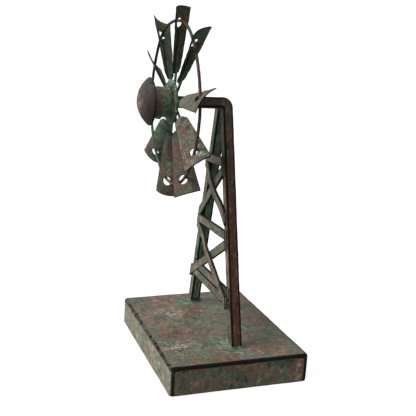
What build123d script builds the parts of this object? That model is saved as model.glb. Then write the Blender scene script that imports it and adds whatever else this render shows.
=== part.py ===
from build123d import *

import os
from math import atan2, cos, radians, sin, sqrt
from typing import NamedTuple

# A garden windmill: a spoked wheel of sheet blades on a braced A-shaped stand.
# Millimetres, +Z up. The origin is the centre of the base's underside. The wheel faces -Y.

os.makedirs("parts", exist_ok=True)

# ---- driving dimensions -------------------------------------------------------------------------

BASE_X, BASE_Y, BASE_H = 250, 190, 38
BASE_WALL = 2
BASE_CORNER_R = 6
BASE_EDGE_R = 4
BOTTOM_T = 1.5

BAR = 14                        # square bar of the legs and the arm
TOWER_Y = 8                     # the plane that both legs stand in
NEAR_FOOT_X, FAR_FOOT_X = 80, -94
AXIS_X, AXIS_Z = -7.5, 350.5    # centre line of the arm and of the wheel's axle
FAR_TOP_X, FAR_TOP_Z = -23, 345
FAR_LEG_CUT_Z = 355
FAR_LEG_LENGTH = 360            # long enough to be cut at both ends
BEND_OUTER_R, BEND_INNER_R = 13, 1.5
NEAR_LEG_LENGTH = 340
WELD_SPREAD, WELD_H, WELD_SLOPE = 3.5, 3.2, 38   # the collars where the legs meet the base
APEX_WELD = (336, 349)          # the heights between which the two legs are welded together

STRAP_W, STRAP_T = 12.7, 3.2    # flat strap of the braces
STRAP_RISE = 30                 # length of the slope where one strap steps over another

WHEEL_Y = -66                   # plane of the hoop and the spokes
RING_R = 106
# The hoop was bent by hand: angles from the top, and how far it bulges out there.
HOOP_BENDS = (
    (0, -3), (26, 0.5), (60, -1), (95, 1), (148, 1.5), (186, 0.5), (222, 0), (250, 2), (300, -1.5), (325, 0), (348, -3),
)
WIRE_R = 1.6
SPOKE_IN_R, SPOKE_OUT_R = 14, 97
SHEET = 1.2
ROOT_R, ROOT_W, ROOT_BEVEL = 38, 18, 6
TIP_R = 123.5
TIP_CROWN = 2                   # how far the tip's edge bows out
HOLE_R = 6


class Blade(NamedTuple):
    """How one blade was set. Its two long edges are called leading and trailing."""

    angle: float                # from the top of the wheel
    slide: float = 0            # how far it slid out along its spoke
    extra: float = 0            # how much longer it is than the plain blade
    pitch: float = 45           # angle of the sheet to the wheel's plane
    camber: float = 6.5         # depth of its hollow at the tip
    leading: float = 19         # half width at the tip, on the leading side
    trailing: float = 19        # and on the trailing side
    hole: float = RING_R        # distance of the hole from the axle


BLADES = (
    Blade(8, extra=-3, pitch=49, camber=5.5, leading=18, trailing=16.5, hole=101.5),
    Blade(45, slide=2, extra=2, pitch=54, camber=4, leading=13.5, trailing=20.5, hole=108.5),
    Blade(82, slide=-2.5, extra=2, pitch=40, camber=5, leading=20, trailing=18.5, hole=104.5),
    Blade(118, slide=-1, extra=4, pitch=50, camber=4.5, leading=21, trailing=17, hole=107.5),
    Blade(147, slide=3.5, pitch=48, leading=18, hole=109),
    Blade(185.5, slide=2.5, pitch=46, camber=6, leading=18, hole=107.5),
    Blade(222.5, slide=-0.5, extra=-1, pitch=46, camber=5.5, hole=105),
    Blade(257, hole=107.5),
    Blade(294.5, slide=-4, extra=-5, pitch=40, camber=3.5, hole=104.5),
    Blade(323.5, slide=-2, extra=4.5, pitch=55, camber=5.5, leading=17.5, trailing=16.5, hole=104.5),
)

AXLE_R = 4
AXLE_SOCKET = 25                # depth of the axle's hole in the end of the arm
RUNNING_GAP = 0.05
BUSH_R = 7
FLANGE_R, FLANGE_T = 29, 3.6
DRUM_R, DRUM_WALL = 19.5, 2.5
DOME_R, DOME_RISE, DOME_T = 31.2, 14.5, 1.5
DOME_RIM = 33.3                 # distance of the dome's rim in front of the hoop's plane
ARM_END = -5                    # the arm stops this far behind the hoop's plane

# ---- directions and planes that several pieces share ---------------------------------------------

FRONT = Vector(0, -1, 0)
HALF = BAR / 2
FACE_Y = TOWER_Y - HALF         # front faces of the legs
ARM_CORNER = Vector(AXIS_X, TOWER_Y, AXIS_Z)
WHEEL_CENTRE = Vector(AXIS_X, WHEEL_Y, AXIS_Z)
near_foot = Vector(NEAR_FOOT_X, TOWER_Y, BASE_H)
near_up = (ARM_CORNER - near_foot).normalized()
near_side = Vector(near_up.Z, 0, -near_up.X)
far_foot = Vector(FAR_FOOT_X, TOWER_Y, BASE_H)
far_up = (Vector(FAR_TOP_X, TOWER_Y, FAR_TOP_Z) - far_foot).normalized()


def near_x(z):
    """Where the near leg's centre line is at height z."""
    return NEAR_FOOT_X + near_up.X / near_up.Z * (z - BASE_H)


def far_x(z):
    """Where the far leg's centre line is at height z."""
    return FAR_FOOT_X + far_up.X / far_up.Z * (z - BASE_H)


def wheel_plane(forward):
    """A plane across the axle, so far in front of the hoop, facing forwards."""
    return Plane(origin=WHEEL_CENTRE + FRONT * forward, x_dir=(1, 0, 0), z_dir=FRONT)


def save(name, part):
    part.label = name
    export_step(part, f"parts/{name}.step")


# ---- base ----------------------------------------------------------------------------------------

with BuildPart() as base_shell:
    with BuildSketch(Plane.XY):
        RectangleRounded(BASE_X, BASE_Y, BASE_CORNER_R)
    extrude(amount=BASE_H)
    fillet(base_shell.faces().sort_by(Axis.Z)[-1].edges(), BASE_EDGE_R)
    offset(amount=-BASE_WALL, openings=base_shell.faces().sort_by(Axis.Z)[0])
save("base_shell", base_shell.part)

with BuildPart() as base_bottom:
    with BuildSketch(Plane.XY):
        RectangleRounded(BASE_X - 2 * BASE_WALL, BASE_Y - 2 * BASE_WALL, BASE_CORNER_R - BASE_WALL)
    extrude(amount=BOTTOM_T)
save("base_bottom", base_bottom.part)

# ---- legs and arm --------------------------------------------------------------------------------

# One bar, drawn in the slanting plane that holds both the leg and the arm: x forwards, y down the leg.
with BuildPart() as near_leg_arm:
    with BuildSketch(Plane(origin=ARM_CORNER, x_dir=FRONT, z_dir=near_side)) as bar_side:
        arm_length = TOWER_Y - WHEEL_Y + ARM_END
        with BuildLine():
            Polyline(
                (-HALF, -HALF),
                (arm_length, -HALF),
                (arm_length, HALF),
                (HALF, HALF),
                (HALF, NEAR_LEG_LENGTH),
                (-HALF, NEAR_LEG_LENGTH),
                close=True,
            )
        make_face()
        fillet(bar_side.vertices().sort_by_distance((-HALF, -HALF))[0], BEND_OUTER_R)
        fillet(bar_side.vertices().sort_by_distance((HALF, HALF))[0], BEND_INNER_R)
    extrude(amount=HALF, both=True)
    split(bisect_by=Plane.XY.offset(BASE_H), keep=Keep.TOP)
    with BuildSketch(wheel_plane(ARM_END)):
        Circle(AXLE_R)
    extrude(amount=-AXLE_SOCKET, mode=Mode.SUBTRACT)
save("near_leg_arm", near_leg_arm.part)

with BuildPart() as far_leg:
    with BuildSketch(Plane(origin=far_foot - far_up * BAR, x_dir=(0, 1, 0), z_dir=far_up)):
        Rectangle(BAR, BAR)
    extrude(amount=FAR_LEG_LENGTH)
    split(bisect_by=Plane.XY.offset(BASE_H), keep=Keep.TOP)
    split(bisect_by=Plane.XY.offset(FAR_LEG_CUT_Z), keep=Keep.BOTTOM)
    split(bisect_by=Plane(origin=ARM_CORNER - near_side * HALF, z_dir=near_side), keep=Keep.BOTTOM)
save("far_leg", far_leg.part)

# Weld collars at the feet, and weld metal in the notch at the top.
for name, foot, leg in (
    ("near_foot_weld", near_foot, near_leg_arm.part),
    ("far_foot_weld", far_foot, far_leg.part),
):
    with BuildPart() as foot_weld:
        with BuildSketch(Plane(origin=foot)):
            RectangleRounded(BAR + 2 * WELD_SPREAD, BAR + 2 * WELD_SPREAD, WELD_SPREAD)
        extrude(amount=WELD_H, taper=WELD_SLOPE)
        add(leg, mode=Mode.SUBTRACT)
    save(name, foot_weld.part)

weld_low, weld_high = APEX_WELD
with BuildPart() as apex_weld:
    with BuildSketch(Plane(origin=(0, TOWER_Y, 0), x_dir=(1, 0, 0), z_dir=FRONT)):
        Polygon(
            (far_x(weld_low), weld_low),
            (near_x(weld_low), weld_low),
            (near_x(weld_high), weld_high),
            (far_x(weld_high), weld_high),
            align=None,
        )
    extrude(amount=HALF - 1.5, both=True)
    add(near_leg_arm.part, mode=Mode.SUBTRACT)
    add(far_leg.part, mode=Mode.SUBTRACT)
save("apex_weld", apex_weld.part)

# ---- braces --------------------------------------------------------------------------------------

# Heights on the far leg and on the near leg of each strap's middle line.
TOP_RAIL = (271, 275)
CROSS_A_OVER = (260, 203)
CROSS_A_UNDER = (192, 263)
MIDDLE_RAIL = (178, 181)
CROSS_B_OVER = (167, 95)
CROSS_B_UNDER = (93, 168)
BOTTOM_RAIL_UPPER = (107, 107)
BOTTOM_RAIL_LOWER = (94, 94)
STRAP_SPARE = 20                # extra length at each end, before a strap is cut to the tower


def strap_ends(heights):
    far_z, near_z = heights
    return Vector(far_x(far_z), FACE_Y, far_z), Vector(near_x(near_z), FACE_Y, near_z)


def crossing(first, second):
    """How far along the first strap, from its middle, the second strap's middle line crosses it."""
    a, b = strap_ends(first)
    c, d = strap_ends(second)
    along = b - a
    across = d - c
    share = (c - a).cross(across).Y / along.cross(across).Y
    return (share - 0.5) * along.length


# A slab over the front of the tower, from the far leg's outer edge to the middle of the near leg.
# The straps are cut to it.
SLAB_LOW, SLAB_HIGH = 60, 330
far_edge = HALF / far_up.Z
with BuildPart() as tower_front:
    with BuildSketch(Plane(origin=(0, FACE_Y, 0), x_dir=(1, 0, 0), z_dir=FRONT)):
        Polygon(
            (far_x(SLAB_LOW) - far_edge, SLAB_LOW),
            (near_x(SLAB_LOW) + 1, SLAB_LOW),
            (near_x(SLAB_HIGH) + 1, SLAB_HIGH),
            (far_x(SLAB_HIGH) - far_edge, SLAB_HIGH),
            align=None,
        )
    extrude(amount=3 * STRAP_T)


def flat_strap(heights, beside):
    """A straight strap on the legs' front faces, cut back to the straps beside it, without the offcuts."""
    a, b = strap_ends(heights)
    with BuildPart() as strap:
        with BuildSketch(Plane(origin=(a + b) / 2, x_dir=b - a, z_dir=FRONT)):
            Rectangle((b - a).length + 2 * STRAP_SPARE, STRAP_W)
        extrude(amount=STRAP_T)
        add(tower_front.part, mode=Mode.INTERSECT)
        for other in beside:
            add(other, mode=Mode.SUBTRACT)
    return strap.part.solids().sort_by(SortBy.VOLUME)[-1]


def stepped_strap(heights, over, beside, comes_down):
    """A strap that lies on the legs and steps over another one, drawn from its long thin side."""
    a, b = strap_ends(heights)
    direction = (b - a).normalized()
    middle = crossing(heights, over)
    end = (b - a).length / 2 + STRAP_SPARE
    start, stop = middle - STRAP_W * 0.75, middle + STRAP_W * 0.75
    path = [(-end, 0), (start - STRAP_RISE, 0), (start, STRAP_T), (stop, STRAP_T)]
    if comes_down:
        path += [(stop + STRAP_RISE, 0), (end, 0)]
    else:
        path += [(end, STRAP_T)]
    front_side = [(s, lift + STRAP_T) for s, lift in reversed(path)]
    with BuildPart() as strap:
        with BuildSketch(Plane(origin=(a + b) / 2, x_dir=direction, z_dir=direction.cross(FRONT))):
            Polygon(*path, *front_side, align=None)
        extrude(amount=STRAP_W / 2, both=True)
        add(tower_front.part, mode=Mode.INTERSECT)
        for other in beside:
            add(other, mode=Mode.SUBTRACT)
    return strap.part


brace_1 = flat_strap(TOP_RAIL, [])
brace_4 = flat_strap(MIDDLE_RAIL, [])
brace_3 = flat_strap(CROSS_A_UNDER, [brace_1, brace_4])
brace_2 = stepped_strap(CROSS_A_OVER, CROSS_A_UNDER, [brace_1, brace_3, brace_4], True)
brace_5 = flat_strap(CROSS_B_UNDER, [brace_4])
brace_7 = flat_strap(BOTTOM_RAIL_UPPER, [brace_5])
brace_8 = flat_strap(BOTTOM_RAIL_LOWER, [brace_5, brace_7])
brace_6 = stepped_strap(CROSS_B_OVER, CROSS_B_UNDER, [brace_4, brace_5, brace_7, brace_8], False)
braces = (brace_1, brace_2, brace_3, brace_4, brace_5, brace_6, brace_7, brace_8)
for number, brace in enumerate(braces, 1):
    save(f"brace_{number}", brace)

# ---- axle and its hardware -----------------------------------------------------------------------

BUSH_BACK, BUSH_FRONT = -3.1, 35
WASHER_R, WASHER_T = 9, 1.6
NUT_T, NUT_ACROSS_FLATS = 4.5, 13
AXLE_PROUD = 1.6                # how far the axle's end stands out of the nut
WASHER_PLAY = 0.3
NUT_BACK = BUSH_FRONT + WASHER_PLAY + WASHER_T
PLATE_T, PLATE_SET_BACK = 3, 5


def disc(name, radius, hole, back, thickness):
    """A flat round piece across the axle, from back to back + thickness in front of the hoop."""
    with BuildPart() as piece:
        with BuildSketch(wheel_plane(back)):
            Circle(radius)
            Circle(hole, mode=Mode.SUBTRACT)
        extrude(amount=thickness)
    save(name, piece.part)
    return piece.part


with BuildPart() as axle:
    with BuildSketch(wheel_plane(ARM_END - AXLE_SOCKET)):
        Circle(AXLE_R)
    extrude(amount=NUT_BACK + NUT_T + AXLE_PROUD - ARM_END + AXLE_SOCKET)
    chamfer(axle.edges().sort_by(Axis.Y)[0], 0.6)
save("axle", axle.part)

disc("rear_washer", WASHER_R, AXLE_R, ARM_END, WASHER_T)
disc("front_washer", WASHER_R, AXLE_R, BUSH_FRONT + WASHER_PLAY, WASHER_T)

with BuildPart() as axle_nut:
    with BuildSketch(wheel_plane(NUT_BACK)):
        RegularPolygon(NUT_ACROSS_FLATS / 2, 6, major_radius=False)
        Circle(AXLE_R, mode=Mode.SUBTRACT)
    extrude(amount=NUT_T)
save("axle_nut", axle_nut.part)

# ---- hub -----------------------------------------------------------------------------------------

dome_sphere = (DOME_R**2 + DOME_RISE**2) / (2 * DOME_RISE)
dome_apex = DOME_RIM + DOME_RISE
dome_centre = dome_apex - dome_sphere
dome_inside = dome_sphere - DOME_T
drum_front = dome_centre + sqrt(dome_inside**2 - DRUM_R**2)

disc("hub_bush", BUSH_R, AXLE_R + RUNNING_GAP, BUSH_BACK, BUSH_FRONT - BUSH_BACK)
disc("hub_flange", FLANGE_R, BUSH_R, WIRE_R, FLANGE_T)
disc("hub_drum", DRUM_R, DRUM_R - DRUM_WALL, WIRE_R + FLANGE_T, drum_front - WIRE_R - FLANGE_T)
disc("hub_front_plate", DRUM_R - DRUM_WALL, BUSH_R, BUSH_FRONT - PLATE_SET_BACK, PLATE_T)

# The cap is a thin slice of a sphere, turned about the axle: x is the radius, y is forwards.
with BuildPart() as dome_cap:
    with BuildSketch(Plane(origin=WHEEL_CENTRE, x_dir=(1, 0, 0), z_dir=(0, 0, 1))):
        rim = atan2(DOME_R, DOME_RIM - dome_centre)
        half = rim / 2
        outer_mid = (dome_sphere * sin(half), -dome_centre - dome_sphere * cos(half))
        inner_mid = (dome_inside * sin(half), -dome_centre - dome_inside * cos(half))
        inner_rim = (dome_inside * sin(rim), -dome_centre - dome_inside * cos(rim))
        with BuildLine():
            ThreePointArc((0, -dome_apex), outer_mid, (DOME_R, -DOME_RIM))
            Line((DOME_R, -DOME_RIM), inner_rim)
            ThreePointArc(inner_rim, inner_mid, (0, -dome_apex + DOME_T))
            Line((0, -dome_apex + DOME_T), (0, -dome_apex))
        make_face()
    revolve(axis=Axis(WHEEL_CENTRE, FRONT))
save("dome_cap", dome_cap.part)

# ---- hoop, spokes and blades ---------------------------------------------------------------------

def hoop_radius(angle):
    """Radius of the hoop's centre line, which goes smoothly from each bend to the next."""
    following = HOOP_BENDS[1:] + ((HOOP_BENDS[0][0] + 360, HOOP_BENDS[0][1]),)
    for (start, here), (stop, there) in zip(HOOP_BENDS, following):
        if start <= angle % 360 <= stop:
            share = (angle % 360 - start) / (stop - start)
            return RING_R + here + (there - here) * share**2 * (3 - 2 * share)


def outwards_at(angle):
    return Vector(sin(radians(angle)), 0, cos(radians(angle)))


HOOP_STEP = 12
with BuildPart() as rim_ring:
    with BuildLine() as hoop_line:
        Spline(*(WHEEL_CENTRE + outwards_at(a) * hoop_radius(a) for a in range(0, 360, HOOP_STEP)), periodic=True)
    with BuildSketch(Plane(origin=hoop_line.line @ 0, z_dir=hoop_line.line % 0)):
        Circle(WIRE_R)
    sweep()
save("rim_ring", rim_ring.part)

CUTTER = 20                     # half the depth of a block that cuts through a blade


def blade_axes(blade):
    """Directions at a blade: outwards, across its sheet to the leading edge, and square to it towards the back."""
    outwards = outwards_at(blade.angle)
    around = outwards_at(blade.angle + 90)
    across = around * cos(radians(blade.pitch)) + FRONT * sin(radians(blade.pitch))
    return outwards, across, outwards.cross(across)


def make_spoke(blade):
    outwards, across, _ = blade_axes(blade)
    with BuildPart() as spoke:
        with BuildSketch(Plane(origin=WHEEL_CENTRE + outwards * SPOKE_IN_R, x_dir=across, z_dir=outwards)):
            Circle(WIRE_R)
        extrude(amount=SPOKE_OUT_R - SPOKE_IN_R)
    return spoke.part


def make_blade(blade):
    """A tapering sheet, hollow towards the back, that lies along the front of its spoke."""
    outwards, across, back = blade_axes(blade)
    crown = -WIRE_R - SHEET     # the sheet's front face, measured towards the back from the spoke
    tip_r = TIP_R + blade.extra
    root_share = ROOT_W / (blade.leading + blade.trailing)
    with BuildPart() as sheet:
        for radius, leading, trailing, camber in (
            (ROOT_R, ROOT_W / 2, ROOT_W / 2, blade.camber * root_share),
            (tip_r + TIP_CROWN, blade.leading, blade.trailing, blade.camber),
        ):
            edge = crown + camber
            origin = WHEEL_CENTRE + outwards * (radius + blade.slide)
            with BuildSketch(Plane(origin=origin, x_dir=across, z_dir=outwards)):
                with BuildLine():
                    ThreePointArc((-trailing, edge), (0, crown), (leading, edge))
                    Line((leading, edge), (leading, edge + SHEET))
                    ThreePointArc((leading, edge + SHEET), (0, crown + SHEET), (-trailing, edge + SHEET))
                    Line((-trailing, edge + SHEET), (-trailing, edge))
                make_face()
        loft()
        # The sheet's outline seen square on: x across the blade, y outwards.
        with BuildSketch(Plane(origin=WHEEL_CENTRE + outwards * blade.slide, x_dir=across, z_dir=-back)):
            with BuildLine():
                Polyline(
                    (-blade.trailing - 1, tip_r),
                    (-ROOT_W / 2 - 1, ROOT_R + ROOT_BEVEL),
                    (-ROOT_W / 4, ROOT_R),
                    (ROOT_W / 4, ROOT_R),
                    (ROOT_W / 2 + 1, ROOT_R + ROOT_BEVEL),
                    (blade.leading + 1, tip_r),
                )
                tip_middle = ((blade.leading - blade.trailing) / 2, tip_r + TIP_CROWN)
                ThreePointArc((blade.leading + 1, tip_r), tip_middle, (-blade.trailing - 1, tip_r))
            make_face()
        extrude(amount=CUTTER, both=True, mode=Mode.INTERSECT)
        with BuildSketch(Plane(origin=WHEEL_CENTRE + outwards * blade.hole, x_dir=across, z_dir=-back)):
            Circle(HOLE_R)
        extrude(amount=CUTTER, both=True, mode=Mode.SUBTRACT)
    return sheet.part


sheets = [make_blade(blade) for blade in BLADES]
for number, blade in enumerate(BLADES, 1):
    save(f"spoke_{number:02d}", make_spoke(blade))
    save(f"blade_{number:02d}", sheets[number - 1])

# A tack weld in each hole, where the hoop passes closest to the sheet.
TACK_R, TACK_LENGTH = 2, 3.6


def make_tack(blade, sheet):
    outwards, across, back = blade_axes(blade)
    out = hoop_radius(blade.angle)
    aside = sqrt(HOLE_R**2 - (out - blade.hole) ** 2) - TACK_R * 0.4
    sag = blade.camber * (aside / blade.trailing) ** 2
    centre = outwards * out - across * aside + back * (sag - WIRE_R - SHEET / 2)
    with BuildPart() as tack:
        with BuildSketch(Plane(origin=WHEEL_CENTRE + centre, x_dir=across, z_dir=outwards)):
            Circle(TACK_R)
        extrude(amount=TACK_LENGTH / 2, both=True)
        add(rim_ring.part, mode=Mode.SUBTRACT)
        add(sheet, mode=Mode.SUBTRACT)
    return tack.part


with BuildPart() as ring_welds:
    for blade, sheet in zip(BLADES, sheets):
        add(make_tack(blade, sheet))
save("ring_welds", ring_welds.part)
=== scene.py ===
from math import atan2, ceil, cos, pi, radians, sin, sqrt
from typing import NamedTuple

import bmesh
import bpy
import numpy as np
from mathutils import Matrix, Vector, noise


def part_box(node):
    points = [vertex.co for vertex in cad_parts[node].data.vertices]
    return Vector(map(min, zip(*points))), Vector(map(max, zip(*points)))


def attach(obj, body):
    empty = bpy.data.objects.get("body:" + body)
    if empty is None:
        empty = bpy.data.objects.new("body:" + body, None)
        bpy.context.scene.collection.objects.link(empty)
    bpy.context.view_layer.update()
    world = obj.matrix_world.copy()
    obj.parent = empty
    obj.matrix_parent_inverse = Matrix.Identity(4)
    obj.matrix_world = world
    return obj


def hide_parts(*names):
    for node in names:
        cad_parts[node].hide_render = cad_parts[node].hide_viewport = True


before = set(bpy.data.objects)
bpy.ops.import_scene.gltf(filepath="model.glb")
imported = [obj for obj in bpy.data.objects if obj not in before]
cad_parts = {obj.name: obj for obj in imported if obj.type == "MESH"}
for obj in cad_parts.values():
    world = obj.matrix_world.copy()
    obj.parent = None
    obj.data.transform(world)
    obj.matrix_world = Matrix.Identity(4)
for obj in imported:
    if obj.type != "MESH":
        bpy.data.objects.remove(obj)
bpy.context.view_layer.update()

# The looks of a garden windmill in patinated sheet metal. Lengths are in millimetres until a mesh is
# written, +Z is up, and the wheel faces -Y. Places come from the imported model.

MM = 0.001


def corner_box(node):
    low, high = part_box(node)
    return Vector(low) / MM, Vector(high) / MM


def middle(node):
    low, high = corner_box(node)
    return (low + high) / 2


# ---- driving dimensions ----

BAR = 14
HALF = BAR / 2
STRAP_W, STRAP_T, STRAP_RISE = 12.7, 3.2, 30
SHEET = 1.2
FRONT = Vector((0, -1, 0))

base_low, base_high = corner_box("base_shell")
BASE_H = base_high.z
BASE_CORNER_R, BASE_EDGE_R = 6, 4

ring_low, ring_high = corner_box("rim_ring")
hub = middle("hub_flange")
WHEEL = Vector((hub.x, (ring_low.y + ring_high.y) / 2, hub.z))
WIRE_R = (ring_high.y - ring_low.y) / 2
CRUST = 0.35                    # how much thicker than its rod the hoop is shown; the spokes half as much
RING_R = 106
# The hoop's bends: angles from the top, and how far it bulges out there.
HOOP_BENDS = (
    (0, -3), (26, 0.5), (60, -1), (95, 1), (148, 1.5), (186, 0.5),
    (222, 0), (250, 2), (300, -1.5), (325, 0), (348, -3),
)

near_foot = middle("near_foot_weld")
near_foot.z = BASE_H
far_foot = middle("far_foot_weld")
far_foot.z = BASE_H
TOWER_Y = near_foot.y
FACE_Y = TOWER_Y - HALF
ARM_CORNER = Vector((WHEEL.x, TOWER_Y, WHEEL.z))
FAR_TOP = Vector((-23, TOWER_Y, 345))
near_up = (ARM_CORNER - near_foot).normalized()
near_side = Vector((near_up.z, 0, -near_up.x))
far_up = (FAR_TOP - far_foot).normalized()

ROOT_R, TIP_R, TIP_CROWN = 38, 123.5, 2
ROOT_W, ROOT_BEVEL, HOLE_R = 18, 6, 6


class Blade(NamedTuple):
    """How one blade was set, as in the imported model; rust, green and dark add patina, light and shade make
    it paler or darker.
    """

    angle: float
    slide: float = 0
    extra: float = 0
    pitch: float = 45
    camber: float = 6.5
    leading: float = 19
    trailing: float = 19
    hole: float = RING_R
    rust: float = 0
    green: float = 0
    dark: float = 0
    light: float = 0
    shade: float = 0


BLADES = (
    Blade(8, 0, -3, 49, 5.5, 18, 16.5, 101.5, rust=0.06, green=0.1, dark=0.1, shade=0.05),
    Blade(45, 2, 2, 54, 4, 13.5, 20.5, 108.5, green=0.16, dark=0.06, shade=0.3),
    Blade(82, -2.5, 2, 40, 5, 20, 18.5, 104.5, rust=0.04, light=0.25, shade=-0.2),
    Blade(118, -1, 4, 50, 4.5, 21, 17, 107.5, rust=0.08, green=0.02, light=0.12, shade=-0.2),
    Blade(147, 3.5, 0, 48, 6.5, 18, 19, 109, rust=0.17, green=0.02, dark=0.05, shade=-0.3),
    Blade(185.5, 2.5, 0, 46, 6, 18, 19, 107.5, rust=0.16, green=0.06, dark=0.05, shade=-0.37),
    Blade(222.5, -0.5, -1, 46, 5.5, 19, 19, 105, rust=0.06, green=0.14, dark=0.07, shade=-0.18),
    Blade(257, 0, 0, 45, 6.5, 19, 19, 107.5, rust=0.05, green=0.1, dark=0.05),
    Blade(294.5, -4, -5, 40, 3.5, 19, 19, 104.5, rust=0.1, dark=0.1, light=0.1),
    Blade(323.5, -2, 4.5, 55, 5.5, 17.5, 16.5, 104.5, rust=0.04, green=0.14, dark=0.08, shade=0.1),
)


# ---- colours ----

def colour(red, green, blue):
    """A scene-linear colour from 0-255 display values."""
    linear = [((c / 255 + 0.055) / 1.055) ** 2.4 if c > 10 else c / 255 / 12.92 for c in (red, green, blue)]
    return (*linear, 1)


GREY_GREEN = colour(92, 97, 82)
OLIVE = colour(70, 68, 52)
BROWN = colour(102, 80, 66)
RED_BROWN = colour(84, 56, 44)
PALE = colour(136, 130, 117)
GREEN = colour(82, 106, 86)
MINT = colour(146, 186, 156)
UMBER = colour(46, 38, 30)
BLACK = colour(13, 12, 10)


def set_inputs(node, values):
    for name, value in values.items():
        node.inputs[name].default_value = value


def set_all(thing, values):
    for name, value in values.items():
        setattr(thing, name, value)


class Nodes:
    """Short ways to write the node tree of a material or a world."""

    def __init__(self, owner):
        owner.use_nodes = True
        self.tree = owner.node_tree
        self.tree.nodes.clear()
        self.place = self.new("ShaderNodeTexCoord").outputs["Object"]

    def new(self, kind, **settings):
        node = self.tree.nodes.new(kind)
        set_all(node, settings)
        return node

    def put(self, socket, value):
        if isinstance(value, bpy.types.NodeSocket):
            self.tree.links.new(value, socket)
        else:
            socket.default_value = value

    def math(self, operation, a, b, clamp=False):
        node = self.new("ShaderNodeMath", operation=operation, use_clamp=clamp)
        self.put(node.inputs[0], a)
        self.put(node.inputs[1], b)
        return node.outputs[0]

    def step(self, value, low, high):
        """0 below low, 1 above high, smooth between."""
        node = self.new("ShaderNodeMapRange", interpolation_type="SMOOTHSTEP")
        self.put(node.inputs["Value"], value)
        self.put(node.inputs["From Min"], low)
        self.put(node.inputs["From Max"], high)
        return node.outputs["Result"]

    def mix(self, factor, a, b, blend="MIX"):
        node = self.new("ShaderNodeMix", data_type="RGBA", blend_type=blend)
        self.put(node.inputs["Factor"], factor)
        self.put(node.inputs["A"], a)
        self.put(node.inputs["B"], b)
        return node.outputs["Result"]

    def spot(self, name):
        return self.new("ShaderNodeAttribute", attribute_name=name).outputs["Fac"]

    def noise(self, size, detail=5, roughness=0.6, distortion=0.0, stretch=(1, 1, 1), shift=0.0):
        """Noise from 0 to 1 with lumps about size millimetres across, longer where stretch is more than 1."""
        mapping = self.new("ShaderNodeMapping")
        self.put(mapping.inputs["Vector"], self.place)
        scales = [1 / (size * MM * s) for s in stretch]
        set_inputs(mapping, {"Location": (shift, shift * 0.7, -shift), "Scale": scales})
        texture = self.new("ShaderNodeTexNoise")
        self.put(texture.inputs["Vector"], mapping.outputs["Vector"])
        set_inputs(texture, {"Scale": 1, "Detail": detail, "Roughness": roughness, "Distortion": distortion})
        spread = self.new("ShaderNodeMapRange")
        self.put(spread.inputs["Value"], texture.outputs["Fac"])
        set_inputs(spread, {"From Min": 0.35, "From Max": 0.65})
        return spread.outputs["Result"]

    def finish(self, shader, height, strength, distance):
        """Join the shader to the material's output, with bumps of the given height."""
        bump = self.new("ShaderNodeBump")
        set_inputs(bump, {"Strength": strength, "Distance": distance})
        self.put(bump.inputs["Height"], height)
        self.put(shader.inputs["Normal"], bump.outputs["Normal"])
        output = self.new("ShaderNodeOutputMaterial")
        self.put(output.inputs["Surface"], shader.outputs["BSDF"])


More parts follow.
